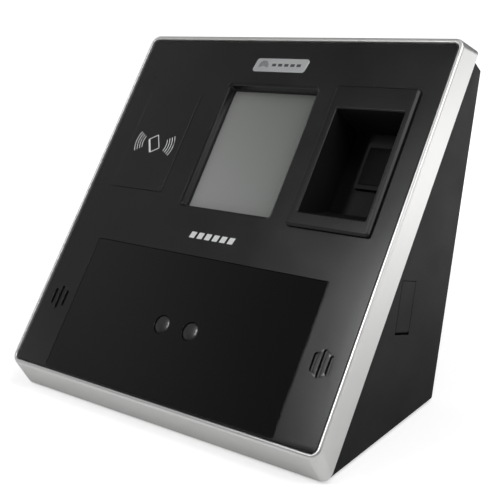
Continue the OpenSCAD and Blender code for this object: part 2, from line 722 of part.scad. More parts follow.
module rear_housing() {
    color("#1c1d1f") difference() {
        union() {
            difference() {
                intersection() {
                    along_x(-housing_half, housing_half) housing_side();
                    on_panel() slab(-housing_half, housing_half, -60, top_v, -110, 0, 2.8);
                    on_back() rotate([-90, 0, 0])
                        slab(-housing_half, housing_half, 0, 130, -60, 200, 3);
                }
                intersection() {
                    along_x(-inner_half, inner_half) housing_hollow();
                    on_panel() slab(-inner_half, inner_half, -70, top_v - wall, -110, 1, 2);
                }
            }
            // tongue that enters the frame
            on_panel() difference() {
                slab(-half + 0.3, half - 0.3, 0.3, panel_h - 0.3, -frame_depth - 0.1, -8, panel_r - 0.3);
                slab(-half + 2.3, half - 2.3, 2.3, panel_h - 2.3, -frame_depth - 1, -7, panel_r - 2.3);
                for (x = [-top_screw_x, top_screw_x])
                    block(x - 2.4, x + 2.4, panel_h - 5, panel_h + 1, -frame_depth + 0.1, -7);
            }
            // shoulder between the top wall and the tongue
            on_panel() block(-inner_half - 0.5, inner_half + 0.5, panel_h - 2.3, top_v - wall + 0.3,
                -frame_depth - 2, -frame_depth);
            // boxes of the bracket recess, the connector bay and the USB pocket
            on_back() {
                block(-recess_half - bay_floor, recess_half + bay_floor, recess_low - bay_floor,
                    recess_high + bay_floor, -recess_depth - bay_floor, -wall + eps);
                block(-bay_half - bay_floor, bay_half + bay_floor, bay_low - bay_floor, bay_high + bay_floor,
                    -bay_depth - bay_floor, -wall + eps);
                rod(0, lock_w, -12, -recess_depth - 1, 3.4);
            }
            on_back() block(-inner_half - eps, -hinge_x + 5.4, door_low - 4.4, door_high + 2.2,
                door_front - 2.2, door_back + 2.2);
            base_bosses();
            top_wells();
        }
        on_back() {
            block(-recess_half, recess_half, recess_low, recess_high, -recess_depth, 1);
            block(-bay_half, bay_half, bay_low, bay_high, -bay_depth, 1);
            // slots for the bracket's hooks
            for (x = hook_spots) block(x - 4.4, x + 4.4, hook_w - 2, hook_w + 9, -recess_depth - 3, 0);
            rod(0, lock_w, -11, 0, insert_r);
            rod(-tamper_x, tamper_w, -9, 0, tamper_r + 0.1);
            rod(-reset_x, reset_w, -bay_depth - 4, 0, reset_r + 0.15);
            // windows for the sockets
            for (w = [[jack_x, 16], [power_x, 13.4], [terminal_x, 14]])
                block(w[0][0] - cup_fit, w[0][1] + cup_fit, deck_w - 0.6, deck_w + w[1], -bay_depth - 4,
                    -bay_depth + 1);
        }
        usb_pocket();
    }
}

module base_bosses() {
    low = base_z + base_t;
    high = base_z + 12;
    for (s = [-1, 1], y = base_screw_y) {
        x = s * base_screw_x;
        edge = s * (inner_half + eps);
        difference() {
            union() {
                rod(x, foot_y + y, low, high, 3.4);
                block(min(x, edge), max(x, edge), foot_y + y - 1, foot_y + y + 1, low, high);
            }
            rod(x, foot_y + y, base_z, high - 1, insert_r);
        }
    }
}

module top_wells() {
    for (x = [-top_screw_x, top_screw_x]) intersection() {
        on_panel() tube(x, top_screw_v, -60, -frame_depth - 0.2, 5, 1.6);
        along_x(-inner_half - 1, inner_half + 1) housing_side();
    }
}

module usb_pocket() {
    on_back() {
        block(-housing_half - 1, -hinge_x + 0.3, door_low, door_high + 0.3, door_front - 0.3, door_back + 0.3);
        translate([-hinge_x, door_low, door_front - 0.3])
            cylinder(h = door_back - door_front + 0.6, r = door_r + 0.35);
        block(-housing_half - 1, -hinge_x, door_low - door_r - 0.35, door_low, door_front - 0.3, door_back + 0.3);
        translate([-hinge_x, door_low, door_front - 1.7]) cylinder(h = door_back - door_front + 3.4, r = pin_r);
        block(-hinge_x - 1, -hinge_x + 8, 38.5, 53.3, -45.3, -37.7);
    }
    for (x = [-top_screw_x, top_screw_x]) on_panel() rod(x, top_screw_v, -60, head_n, 3.2);
}

module base_plate() {
    front = side(base_v, -frame_depth)[0] + 0.4;
    back = back_foot_y - lip - 0.3;
    color("#191a1c") difference() {
        along_x(-inner_half + 0.3, inner_half - 0.3)
            polygon([[front, base_z], [back, base_z], [back, base_z + base_t],
                [front + base_t / tan(panel_lean), base_z + base_t]]);
        for (p = foot_spots) rod(p[0], foot_y + p[1], base_z - 1, base_z + 1, foot_r + 0.1);
        for (x = [-1, 1], y = base_screw_y) {
            rod(x * base_screw_x, foot_y + y, base_z - 1, base_z + base_t + 1, 1.6);
            rod(x * base_screw_x, foot_y + y, base_z - 1, base_z + 1.4, 3);
        }
        // rows of cooling slots
        for (i = [-7 : 7]) block(i * 8 - 1.3, i * 8 + 1.3, foot_y + 74, foot_y + 86, base_z - 1, base_z + 3);
    }
}

module rubber_feet() {
    color("#2a2a2a") for (p = foot_spots) rod(p[0], foot_y + p[1], 0, base_z + 1, foot_r);
}

/* ---- Connectors ---- */

module io_board() {
    color("#1d6b3c") on_back() difference() {
        block(-52, 52, deck_w, deck_top, -44, -bay_depth - bay_floor - 0.4);
        for (x = [-48, 48]) translate([x, deck_w - 1, -40]) rotate([-90, 0, 0]) cylinder(h = 4, r = 1.6);
    }
}

module ethernet_jack() {
    low = deck_top;
    color("#b9bcc0") on_back() difference() {
        block(jack_x[0], jack_x[1], low, low + 13.4, socket_m - 21, socket_m);
        block(-7.9, 3.9, low + 2.2, low + 10.4, socket_m - 12, socket_m + 1);
        block(-5, 1, low + 0.8, low + 3, socket_m - 12, socket_m + 1);
    }
}

module power_jack() {
    low = deck_top;
    x = (power_x[0] + power_x[1]) / 2;
    color("#202022") on_back() {
        difference() {
            block(power_x[0] + 0.2, power_x[1] - 0.2, low, low + 11, socket_m - 14, socket_m);
            rod(x, low + 6, socket_m - 10, socket_m + 1, 3.1);
        }
        rod(x, low + 6, socket_m - 10.5, socket_m - 1, 1);
    }
}

module terminal_block() {
    low = deck_top;
    ways = 8;
    pitch = 3.81;
    left = terminal_x[0] + 0.2;
    color("#2f8a3f") on_back() difference() {
        block(left, left + ways * pitch + 0.2, low, low + 11.5, socket_m - 14, socket_m);
        for (i = [0 : ways - 1]) {
            x = left + 0.1 + pitch * (i + 0.5);
            block(x - 1.3, x + 1.3, low + 2, low + 5, socket_m - 8, socket_m + 1);
            rod_y(x, low + 8, low + 12, socket_m - 4.5, 1.4);
        }
    }
    color("#b9bcc0") on_back() for (i = [0 : ways - 1])
        rod_y(left + 0.1 + pitch * (i + 0.5), low + 7.9, low + 10.6, socket_m - 4.5, 1.35);
}

module rod_y(x, y0, y1, z, r) { translate([x, y0, z]) rotate([-90, 0, 0]) cylinder(h = y1 - y0, r = r); }

module usb_port() {
    color("#c3c6c8") on_back() {
        difference() {
            block(-hinge_x + 0.4, -hinge_x + 14.4, 39.3, 52.5, -44.4, -38.6);
            block(-hinge_x - 1, -hinge_x + 12, 39.7, 52.1, -44, -39);
        }
        block(-hinge_x + 1.4, -hinge_x + 12.1, 40.5, 51.3, -41.2, -39.4);
    }
    color("#1d6b3c") on_back() block(-hinge_x + 6, -hinge_x + 24, 36.9, 54.9, -46, -44.4);
}

module usb_door() {
    color("#202123") on_back() difference() {
        union() {
            block(-housing_half, -housing_half + door_t, door_low, door_high, door_front, door_back);
            translate([-hinge_x, door_low, door_front]) cylinder(h = door_back - door_front, r = door_r);
            // catch that holds the top edge
            block(-housing_half + door_t - eps, -housing_half + door_t + 0.6, door_high - 1.2, door_high - 0.4,
                door_front + 3, door_back - 3);
        }
        translate([-hinge_x, door_low, door_front - 1])
            cylinder(h = door_back - door_front + 2, r = pin_r + 0.05);
    }
}

module usb_door_pin() {
    color("#b9bcc0") on_back() translate([-hinge_x, door_low, door_front - 1.7])
        cylinder(h = door_back - door_front + 3.4, r = pin_r);
}

module reset_switch() {
    color("#8f9294") on_back() slab(-reset_x - 3, -reset_x + 3, reset_w - 3, reset_w + 3, -22, -17.4, 0.6);
}

module reset_button() {
    color("#a33a2c") on_back() {
        rod(-reset_x, reset_w, -16.4, -bay_depth + 1.2, reset_r);
        rod(-reset_x, reset_w, -16.4, -bay_depth - bay_floor - 0.3, reset_r + 1.05);
    }
}

module tamper_switch() {
    color("#1f3a5f") on_back() slab(-tamper_x - 6, -tamper_x + 6, tamper_w - 3, tamper_w + 3, -16, -9.4, 0.6);
}

module tamper_plunger() {
    color("#e4e4e0") on_back() {
        rod(-tamper_x, tamper_w, -7.6, tamper_travel, tamper_r);
        rod(-tamper_x, tamper_w, -7.6, -recess_depth - 2.3, tamper_r + 1.2);
    }
}

module wall_bracket() {
    low = recess_low + 1;
    high = recess_high - 1;
    color("#a9adb0") on_back() difference() {
        union() {
            slab(-recess_half + 1, recess_half - 1, low, high, -2, -0.5, 3);
            // hooks that enter the housing
            for (x = hook_spots) {
                block(x - 4, x + 4, hook_w, hook_w + 1.5, -8, -1);
                block(x - 4, x + 4, hook_w, hook_w + 7, -8, -6.6);
            }
        }
        for (x = [-1, 1], w = [-1, 1])
            rod(x * wall_screw_x / 2, wall_screw_mid + w * wall_screw_w / 2, -3, 1, wall_screw_d / 2);
        rod(0, lock_w, -3, 1, 1.7);
        rod(-tamper_x, tamper_w, -3, 1, 5);
    }
}

module bracket_lock_screw() {
    color("#8d9194") on_back() translate([0, lock_w, -0.5]) screw(2.8, 1.6, insert_r, 9.5);
}

/* ---- Fasteners ---- */

module panel_screws() {
    color("#8d9194") on_panel() for (p = ear_spots)
        translate([p[0], p[1], ledge_n - ledge_t]) rotate([180, 0, 0]) screw(2.1, 1.5, pilot_r, 4);
}

module board_screws() {
    color("#8d9194") on_panel() {
        for (p = boss_spots) translate([p[0], p[1], rear]) rotate([180, 0, 0]) screw(2.8, 1.8, insert_r, 6);
        for (p = bracket_spots)
            translate([p[0], p[1], bracket_front - 1]) rotate([180, 0, 0]) screw(2.1, 1.4, pilot_r, 5);
    }
}

module housing_screws() {
    color("#8d9194") on_panel() for (x = [-top_screw_x, top_screw_x])
        translate([x, top_screw_v, head_n]) rotate([180, 0, 0]) screw(2.9, 2, 1.3, 12);
}

module base_screws() {
    color("#8d9194") for (x = [-1, 1], y = base_screw_y)
        translate([x * base_screw_x, foot_y + y, base_z + 1.4]) rotate([180, 0, 0]) screw(2.7, 1.2, insert_r, 8);
}

silver_frame();
front_panel();
panel_seal();
ir_window();
card_pad();
badge_plate();
touch_glass();
lcd_gasket();
lcd_module();
display_bracket();
display_flex();
fingerprint_bezel();
fingerprint_holder();
fingerprint_platen();
fingerprint_board();
fingerprint_cable();
card_antenna_board();
antenna_lead();
camera_board();
camera_barrel_left();
camera_barrel_right();
camera_lens_left();
camera_lens_right();
camera_flex();
ir_led_board_left();
ir_led_board_right();
ir_leds();
speaker_left();
speaker_right();
speaker_leads();
microphone();
main_board();
processor_shield();
board_components();
coin_cell_holder();
coin_cell();
board_standoffs();
battery_pack();
battery_strap();
battery_lead();
rear_housing();
base_plate();
rubber_feet();
io_board();
ethernet_jack();
power_jack();
terminal_block();
usb_port();
usb_door();
usb_door_pin();
reset_switch();
reset_button();
tamper_switch();
tamper_plunger();
wall_bracket();
bracket_lock_screw();
panel_screws();
board_screws();
housing_screws();
base_screws();
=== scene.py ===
"""Looks of the fingerprint scanner terminal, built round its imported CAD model.

Lengths are in metres. Most front pieces are made in the panel's own frame: x right, y up the panel,
z out of its face, with the origin at the middle of the panel opening's lower edge.
"""

import math

import bmesh
import bpy
from mathutils import Matrix, Vector


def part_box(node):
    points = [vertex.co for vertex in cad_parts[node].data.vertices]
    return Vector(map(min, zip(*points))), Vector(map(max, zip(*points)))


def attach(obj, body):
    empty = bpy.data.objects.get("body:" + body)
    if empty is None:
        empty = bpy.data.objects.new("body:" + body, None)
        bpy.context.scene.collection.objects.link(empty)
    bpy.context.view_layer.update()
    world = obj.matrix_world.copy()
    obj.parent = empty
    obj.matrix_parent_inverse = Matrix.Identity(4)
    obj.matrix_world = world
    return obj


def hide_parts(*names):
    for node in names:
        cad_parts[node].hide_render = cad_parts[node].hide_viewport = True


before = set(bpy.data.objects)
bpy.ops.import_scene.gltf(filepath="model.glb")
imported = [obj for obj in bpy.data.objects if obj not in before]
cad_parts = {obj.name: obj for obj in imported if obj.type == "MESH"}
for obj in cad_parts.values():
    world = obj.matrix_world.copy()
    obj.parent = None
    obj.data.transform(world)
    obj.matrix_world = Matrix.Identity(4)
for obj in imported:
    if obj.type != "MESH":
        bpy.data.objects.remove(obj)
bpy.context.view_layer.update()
BODY = "terminal"

MM = 0.001
SMALLEST_RADIUS = 0.05 * MM
SHARP_ANGLE = 32  # degrees between faces from which their edge stays sharp
PANEL_LEAN = math.radians(49.55)  # the panel above the table, as in the CAD
PANEL_HEIGHT = 199.8 * MM
PANEL_GAP = 0.5 * MM
PANEL_LOW = 0.2 * MM  # lower edge of the black panel
SIN, COS = math.sin(PANEL_LEAN), math.cos(PANEL_LEAN)

panel_low, panel_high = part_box("front_panel")
FOOT_Y = panel_low.y - PANEL_LOW * COS
FOOT_Z = panel_high.z - (PANEL_HEIGHT - PANEL_GAP) * SIN
TO_PANEL = Matrix(((1, 0, 0, 0), (0, COS, -SIN, FOOT_Y), (0, SIN, COS, FOOT_Z), (0, 0, 0, 1)))


def face_rect(node, front, radius):
    """Rounded rectangle (x0, x1, y0, y1, radius) of a flat CAD node whose front is at height front."""
    low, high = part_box(node)
    y0 = (low.y - FOOT_Y + front * SIN) / COS
    y1 = (high.z - FOOT_Z - front * COS) / SIN
    return (low.x, high.x, y0, y1, radius)


def grow(rect, by):
    """The rounded rectangle with each side moved out by a distance."""
    x0, x1, y0, y1, radius = rect
    if isinstance(radius, tuple):
        radius = tuple(max(r + by, SMALLEST_RADIUS) for r in radius)
    else:
        radius = max(radius + by, SMALLEST_RADIUS)
    return (x0 - by, x1 + by, y0 - by, y1 + by, radius)


# ---------------------------------------------------------------- mesh helpers


def ring(rect, z, steps=8):
    """Points of a rounded rectangle, counter-clockwise; its radius may be a pair (lower, upper)."""
    x0, x1, y0, y1, radius = rect
    low, top = radius if isinstance(radius, tuple) else (radius, radius)
    corners = (
        (x0 + low, y0 + low, 2, low),
        (x1 - low, y0 + low, 3, low),
        (x1 - top, y1 - top, 0, top),
        (x0 + top, y1 - top, 1, top),
    )
    points = []
    for cx, cy, quarter, r in corners:
        for i in range(steps + 1):
            a = (quarter + i / steps) * math.pi / 2
            points.append(Vector((cx + r * math.cos(a), cy + r * math.sin(a), z)))
    return points


def ring_edges(bm, verts):
    """The edges round a ring of vertices, made where they are missing."""
    return [bm.edges.get((a, b)) or bm.edges.new((a, b)) for a, b in zip(verts, verts[1:] + verts[:1])]


def bridge(bm, lower, upper):
    """A band of faces between two rings with the same number of vertices."""
    count = len(lower)
    for i in range(count):
        j = (i + 1) % count
        bm.faces.new((lower[i], lower[j], upper[j], upper[i]))


def skin(bm, rings):
    """Joins a list of rings into one surface, and returns the vertices of each ring."""
    made = [[bm.verts.new(p) for p in points] for points in rings]
    for a, b in zip(made, made[1:]):
        bridge(bm, a, b)
    return made


def fillet(rect, z, edge, outward, steps=4):
    """Rings of a rounded edge between a top face at z and a wall below it; outward is 1 or -1."""
    found = []
    for i in range(steps + 1):
        a = i / steps * math.pi / 2
        found.append((grow(rect, -outward * edge * (1 - math.sin(a))), z - edge * (1 - math.cos(a))))
    return found


def close_ends(bm, made):
    """Faces over the first and the last ring of a skin."""
    bm.faces.new(made[0])
    bm.faces.new(made[-1][::-1])


def finish_mesh(name, bm, *materials):
    """Turns a bmesh that is drawn in the panel's own frame into a smooth piece."""
    bmesh.ops.remove_doubles(bm, verts=bm.verts, dist=1e-7)
    bmesh.ops.recalc_face_normals(bm, faces=bm.faces)
    mesh = bpy.data.meshes.new(name)
    bm.to_mesh(mesh)
    bm.free()
    mesh.shade_smooth()
    mesh.set_sharp_from_angle(angle=math.radians(SHARP_ANGLE))
    obj = bpy.data.objects.new(name, mesh)
    bpy.context.scene.collection.objects.link(obj)
    obj.matrix_world = TO_PANEL
    for m in materials:
        mesh.materials.append(m)
    weighted = obj.modifiers.new("even shading", "WEIGHTED_NORMAL")
    weighted.keep_sharp = True
    return obj


def settle(obj, replaces=()):
    """Puts a piece on the terminal and hides what it stands for."""
    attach(obj, BODY)
    if replaces:
        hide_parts(*replaces)


def fill(bm, loops):
    """Flat faces between an outline and the holes in it."""
    edges = [e for loop in loops for e in ring_edges(bm, loop)]
    bmesh.ops.triangle_fill(bm, use_beauty=True, use_dissolve=False, edges=edges)


def plate(name, rect, top, bottom, edge, material, holes=(), steps=8):
    """A flat plate with a rounded top edge; a hole is a list of (rectangle, height) from its top down."""
    bm = bmesh.new()
    outline = fillet(rect, top, edge, 1) + [(rect, bottom)]
    made = skin(bm, [ring(r, z, steps) for r, z in outline])
    tops, bottoms = [made[0]], [made[-1]]
    for hole in holes:
        inner = skin(bm, [ring(r, z, steps) for r, z in hole])
        tops.append(inner[0])
        bottoms.append(inner[-1])
    fill(bm, tops)
    fill(bm, bottoms)
    return finish_mesh(name, bm, material)


def hole(rect, top, bottom, edge):
    """A straight hole with a rounded mouth, for plate()."""
    return fillet(rect, top, edge, -1) + [(rect, bottom)]


def flat_shape(bm, points, z0, z1):
    """A thin solid over a convex outline."""
    low = [bm.verts.new((x, y, z0)) for x, y in points]
    high = [bm.verts.new((x, y, z1)) for x, y in points]
    bm.faces.new(high)
    bm.faces.new(low[::-1])
    bridge(bm, low, high)


def stroke(bm, path, width, z0, z1):
    """A thin band of even width along an open path of (x, y) points."""
    left, right = [], []
    for i, p in enumerate(path):
        a = Vector(path[max(i - 1, 0)])
        b = Vector(path[min(i + 1, len(path) - 1)])
        across = (b - a).normalized()
        across = Vector((-across.y, across.x)) * width / 2
        left.append(Vector(p) + across)
        right.append(Vector(p) - across)
    for i in range(len(path) - 1):
        quad = [right[i], right[i + 1], left[i + 1], left[i]]
        flat_shape(bm, [(q.x, q.y) for q in quad], z0, z1)


def arc(cx, cy, radius, start, end):
    """Points of an arc, with its angles in degrees."""
    steps = 10
    angles = [math.radians(start + (end - start) * i / steps) for i in range(steps + 1)]
    return [(cx + radius * math.cos(a), cy + radius * math.sin(a)) for a in angles]


# ---------------------------------------------------------------- materials


def new_material(name):
    """A new material, its nodes and links, and its shader."""
    m = bpy.data.materials.new(name)
    m.use_nodes = True
    return m, m.node_tree.nodes, m.node_tree.links, m.node_tree.nodes["Principled BSDF"]


def noise(nodes, links, size, detail=3.0):
    """A noise texture in object coordinates with features of about the given size."""
    place = nodes.new("ShaderNodeTexCoord")
    texture = nodes.new("ShaderNodeTexNoise")
    texture.inputs["Scale"].default_value = 1 / size
    texture.inputs["Detail"].default_value = detail
    links.new(place.outputs["Object"], texture.inputs["Vector"])
    return texture


def map_range(nodes, links, source, given, wanted, kind="LINEAR"):
    """Maps a value from one (low, high) range onto another."""
    ramp = nodes.new("ShaderNodeMapRange")
    ramp.interpolation_type = kind
    ramp.inputs["From Min"].default_value, ramp.inputs["From Max"].default_value = given
    ramp.inputs["To Min"].default_value, ramp.inputs["To Max"].default_value = wanted
    links.new(source, ramp.inputs["Value"])
    return ramp.outputs["Result"]


NOISE_RANGE = (0.3, 0.7)  # where nearly all of a noise texture's values lie
GLOSS_CHANGE = 0.1  # share by which the roughness changes from place to place


def finish_material(name, colour, roughness, grain=0.3 * MM, relief=0.02 * MM, strength=0.3,
                    metallic=0.0, vary=0.05, coat=0.0, coat_rough=0.1, specular=0.5, patch=30 * MM):
    """A finish with fine grain in its surface and slow changes of colour and gloss."""
    m, nodes, links, shader = new_material(name)
    shader.inputs["Metallic"].default_value = metallic
    shader.inputs["Specular IOR Level"].default_value = specular
    shader.inputs["Coat Weight"].default_value = coat
    shader.inputs["Coat Roughness"].default_value = coat_rough
    slow = noise(nodes, links, patch)
    gloss = (roughness * (1 - GLOSS_CHANGE), roughness * (1 + GLOSS_CHANGE))
    links.new(map_range(nodes, links, slow.outputs["Fac"], NOISE_RANGE, gloss), shader.inputs["Roughness"])
    mix = nodes.new("ShaderNodeMix")
    mix.data_type = "RGBA"
    mix.inputs["A"].default_value = (*[c * (1 - vary) for c in colour], 1)
    mix.inputs["B"].default_value = (*[min(c * (1 + vary), 1) for c in colour], 1)
    fine = noise(nodes, links, grain, 2.0)
    links.new(slow.outputs["Fac"], mix.inputs["Factor"])
    links.new(mix.outputs["Result"], shader.inputs["Base Color"])
    bump = nodes.new("ShaderNodeBump")
    bump.inputs["Strength"].default_value = strength
    bump.inputs["Distance"].default_value = relief
    links.new(fine.outputs["Fac"], bump.inputs["Height"])
    links.new(bump.outputs["Normal"], shader.inputs["Normal"])
    return m


SILVER = finish_material("silver paint", (0.82, 0.82, 0.81), 0.34, grain=0.12 * MM, relief=0.01 * MM,
                         strength=0.25, metallic=0.75, vary=0.02, patch=60 * MM)
BLACK = finish_material("satin black plastic", (0.008, 0.0081, 0.0085), 0.25, grain=0.25 * MM,
                        relief=0.01 * MM, strength=0.25, vary=0.08)
READER = finish_material("reader plastic", (0.0062, 0.0063, 0.0066), 0.3, grain=0.2 * MM,
                         relief=0.01 * MM, strength=0.2, vary=0.08, specular=0.32)
# painted shade: the finger well's inside and the sensor holder are a little darker than the reader plastic;
# the matt finish is the plastic's own
WELL_PAINTED_SHADE = finish_material("matt well, painted shade", (0.005, 0.005, 0.0053), 0.6, grain=0.3 * MM, relief=0.02 * MM,
                       strength=0.3, vary=0.1, specular=0.25)
HOUSING = finish_material("housing plastic", (0.0034, 0.0037, 0.0037), 0.5, grain=0.35 * MM,
                          relief=0.03 * MM, strength=0.35, vary=0.1, specular=0.23)
WINDOW = finish_material("polished black acrylic", (0.004, 0.004, 0.0045), 0.05, grain=4 * MM,
                         relief=0.002 * MM, strength=0.1, vary=0.1)
BADGE = finish_material("brushed badge metal", (0.72, 0.73, 0.74), 0.32, grain=0.1 * MM, relief=0.01 * MM,
                        strength=0.2, metallic=0.9, vary=0.03)
PLATEN = finish_material("sensor glass", (0.003, 0.0032, 0.0036), 0.18, grain=3 * MM, relief=0.002 * MM,
                         strength=0.1, specular=0.2)
LENS = finish_material("camera lens", (0.016, 0.0165, 0.017), 0.34, grain=2 * MM, relief=0.002 * MM,
                       strength=0.05, coat=0.3, coat_rough=0.06, specular=0.35)
INK = finish_material("white ink", (0.75, 0.76, 0.76), 0.5, grain=0.1 * MM, relief=0.005 * MM,
                      strength=0.2, vary=0.03)
DARK_INK = finish_material("dark ink", (0.05, 0.052, 0.06), 0.5, grain=0.1 * MM, relief=0.005 * MM,
                           strength=0.2)
RUBBER = finish_material("black rubber", (0.015, 0.015, 0.015), 0.75, grain=0.3 * MM, relief=0.03 * MM,
                         strength=0.4)
FOAM = finish_material("black foam", (0.012, 0.012, 0.012), 0.9, grain=0.4 * MM, relief=0.05 * MM,
                       strength=0.6)
ZINC = finish_material("zinc plated steel", (0.55, 0.56, 0.58), 0.32, grain=0.6 * MM, relief=0.01 * MM,
                       strength=0.2, metallic=0.95, vary=0.06)
TIN = finish_material("tinned sheet", (0.6, 0.61, 0.62), 0.25, grain=0.8 * MM, relief=0.01 * MM,
                      strength=0.15, metallic=1.0, vary=0.05)
BRASS = finish_material("brass", (0.7, 0.5, 0.2), 0.3, metallic=1.0)
BOARD = finish_material("solder resist", (0.015, 0.12, 0.05), 0.35, grain=0.5 * MM, vary=0.15)
CHIP = finish_material("chip moulding", (0.015, 0.015, 0.016), 0.55, grain=0.2 * MM)
FILM = finish_material("amber film", (0.5, 0.24, 0.04), 0.25)
RIBBON = finish_material("ribbon insulation", (0.6, 0.57, 0.48), 0.5)
WIRE_RED = finish_material("red insulation", (0.45, 0.02, 0.02), 0.4)
WIRE_BLACK = finish_material("black insulation", (0.015, 0.015, 0.015), 0.4)
WRAP = finish_material("battery wrap", (0.03, 0.08, 0.3), 0.25)
GREEN = finish_material("green terminal plastic", (0.03, 0.25, 0.06), 0.4)
BLUE = finish_material("blue switch plastic", (0.02, 0.05, 0.15), 0.4)
RED = finish_material("red button plastic", (0.35, 0.03, 0.02), 0.35)
WHITE = finish_material("white plastic", (0.75, 0.75, 0.71), 0.4)
EPOXY = finish_material("lamp epoxy", (0.03, 0.015, 0.05), 0.08, coat=1.0)


# ---------------------------------------------------------------- camera, floor and lights

CAMERA_PLACE = Vector((0.3169, -0.36476, 0.2241))
CAMERA_LOOK = Vector((-0.616, 0.7272, -0.3046))
CAMERA_UP = Vector((-0.139, 0.2798, 0.9494))
LENS_LENGTH = 71.1  # millimetres, as is the sensor's width
SENSOR_WIDTH = 36
OBJECT_MIDDLE = Vector((0, 0, 80 * MM))
FLOOR_HALF = 4.0


def make_camera():
    """The photograph's view: from the right, a little above, with a slight roll."""
    data = bpy.data.cameras.new("camera")
    data.lens = LENS_LENGTH
    data.sensor_width = SENSOR_WIDTH
    cam = bpy.data.objects.new("camera", data)
    back = -CAMERA_LOOK.normalized()
    right = CAMERA_UP.cross(back).normalized()
    up = back.cross(right)
    turn = Matrix((right, up, back)).transposed().to_4x4()
    cam.matrix_world = Matrix.Translation(CAMERA_PLACE) @ turn
    bpy.context.scene.collection.objects.link(cam)
    bpy.context.scene.camera = cam


# (centre on the floor, distances from it, emission at these distances)
SEEN_GLOW = ((0, 0, 0), (0.1, 0.5), (0.55, 0.95))
LIGHTING_GLOW = ((0, -0.25, 0), (0.25, 0.8), (0, 0.9))


def floor_glow(nodes, links, centre, distances, emission):
    """Emission that grows with the distance from a point on the floor."""
    place = nodes.new("ShaderNodeTexCoord")
    distance = nodes.new("ShaderNodeVectorMath")
    distance.operation = "DISTANCE"
    distance.inputs[1].default_value = centre
    links.new(place.outputs["Object"], distance.inputs[0])
    return map_range(nodes, links, distance.outputs["Value"], distances, emission, "SMOOTHSTEP")


def floor_finish():
    """Pale matt floor that fades into the backdrop; near the object it gives less light than it shows."""
    m, nodes, links, shader = new_material("pale floor")
    shader.inputs["Base Color"].default_value = (0.9, 0.9, 0.9, 1)
    shader.inputs["Roughness"].default_value = 0.8
    shader.inputs["Specular IOR Level"].default_value = 0.2
    shader.inputs["Emission Color"].default_value = (1, 1, 1, 1)
    path = nodes.new("ShaderNodeLightPath")
    mix = nodes.new("ShaderNodeMix")
    links.new(path.outputs["Is Camera Ray"], mix.inputs["Factor"])
    links.new(floor_glow(nodes, links, *LIGHTING_GLOW), mix.inputs["A"])
    links.new(floor_glow(nodes, links, *SEEN_GLOW), mix.inputs["B"])
    links.new(mix.outputs["Result"], shader.inputs["Emission Strength"])
    return m


def make_floor():
    """A large plain floor at the height of the feet."""
    bm = bmesh.new()
    corners = ((-1, -1), (1, -1), (1, 1), (-1, 1))
    bm.faces.new([bm.verts.new((x * FLOOR_HALF, y * FLOOR_HALF, 0)) for x, y in corners])
    mesh = bpy.data.meshes.new("floor")
    bm.to_mesh(mesh)
    bm.free()
    floor = bpy.data.objects.new("floor", mesh)
    bpy.context.scene.collection.objects.link(floor)
    mesh.materials.append(floor_finish())


def area_light(name, azimuth, elevation, distance, size, power):
    """A soft square lamp that faces the object; azimuth 0 is in front of it and 90 on its right."""
    turn, lift = math.radians(azimuth), math.radians(elevation)
    away = Vector((math.sin(turn) * math.cos(lift), -math.cos(turn) * math.cos(lift), math.sin(lift)))
    data = bpy.data.lights.new(name, "AREA")
    data.size = size
    data.energy = power
    lamp = bpy.data.objects.new(name, data)
    lamp.visible_camera = False
    lamp.matrix_world = (Matrix.Translation(OBJECT_MIDDLE + away * distance)
                         @ away.to_track_quat("Z", "Y").to_matrix().to_4x4())
    bpy.context.scene.collection.objects.link(lamp)


def make_world():
    """A white backdrop, and a dim studio that is brighter overhead and on its left."""
    world = bpy.data.worlds.new("studio")
    bpy.context.scene.world = world
    world.use_nodes = True
    nodes, links = world.node_tree.nodes, world.node_tree.links
    room = nodes["Background"]
    backdrop = nodes.new("ShaderNodeBackground")
    backdrop.inputs["Color"].default_value = (1, 1, 1, 1)
    place = nodes.new("ShaderNodeTexCoord")
    split = nodes.new("ShaderNodeSeparateXYZ")
    links.new(place.outputs["Generated"], split.inputs["Vector"])
    rise = map_range(nodes, links, split.outputs["Z"], (0.2, 0.6), (0.02, 0.15), "SMOOTHSTEP")
    side = map_range(nodes, links, split.outputs["X"], (-0.55, -0.78), (0.7, 2.3), "SMOOTHSTEP")
    both = nodes.new("ShaderNodeMath")
    both.operation = "MULTIPLY"
    links.new(rise, both.inputs[0])
    links.new(side, both.inputs[1])
    links.new(both.outputs["Value"], room.inputs["Strength"])
    room.inputs["Color"].default_value = (1, 1, 1, 1)
    path = nodes.new("ShaderNodeLightPath")
    mix = nodes.new("ShaderNodeMixShader")
    links.new(path.outputs["Is Camera Ray"], mix.inputs["Fac"])
    links.new(room.outputs["Background"], mix.inputs[1])
    links.new(backdrop.outputs["Background"], mix.inputs[2])
    links.new(mix.outputs["Shader"], nodes["World Output"].inputs["Surface"])


# name: (azimuth, elevation, distance, size, power in watts)
LAMPS = {
    "right high": (90, 62, 1.2, 0.6, 3.8),
    "right": (90, 35, 1.2, 0.6, 3.6),
    "sheen": (-28, 50, 1.0, 0.15, 1.34),
    "low sheen": (-24, 42, 1.0, 0.15, 1.12),
    "left": (-60, 12, 1.2, 0.5, 0.3),
    "top rim": (180, 60, 1.2, 0.5, 0.55),
    "left rim": (-100, 20, 1.2, 0.5, 1.2),
    "top sheen": (-38, 62, 1.0, 0.15, 0.15),
}


make_camera()
make_floor()
make_world()
for lamp_name, setting in LAMPS.items():
    area_light(lamp_name, *setting)
bpy.context.scene.view_settings.view_transform = "Standard"


# ---------------------------------------------------------------- front pieces

PANEL_T = 2.6 * MM
PLATE_PROUD = 0.4 * MM  # how far the card pad and the badge stand out of the panel
INK_RISE = (-0.01 * MM, 0.03 * MM)  # where ink starts and ends, from the face that it is printed on


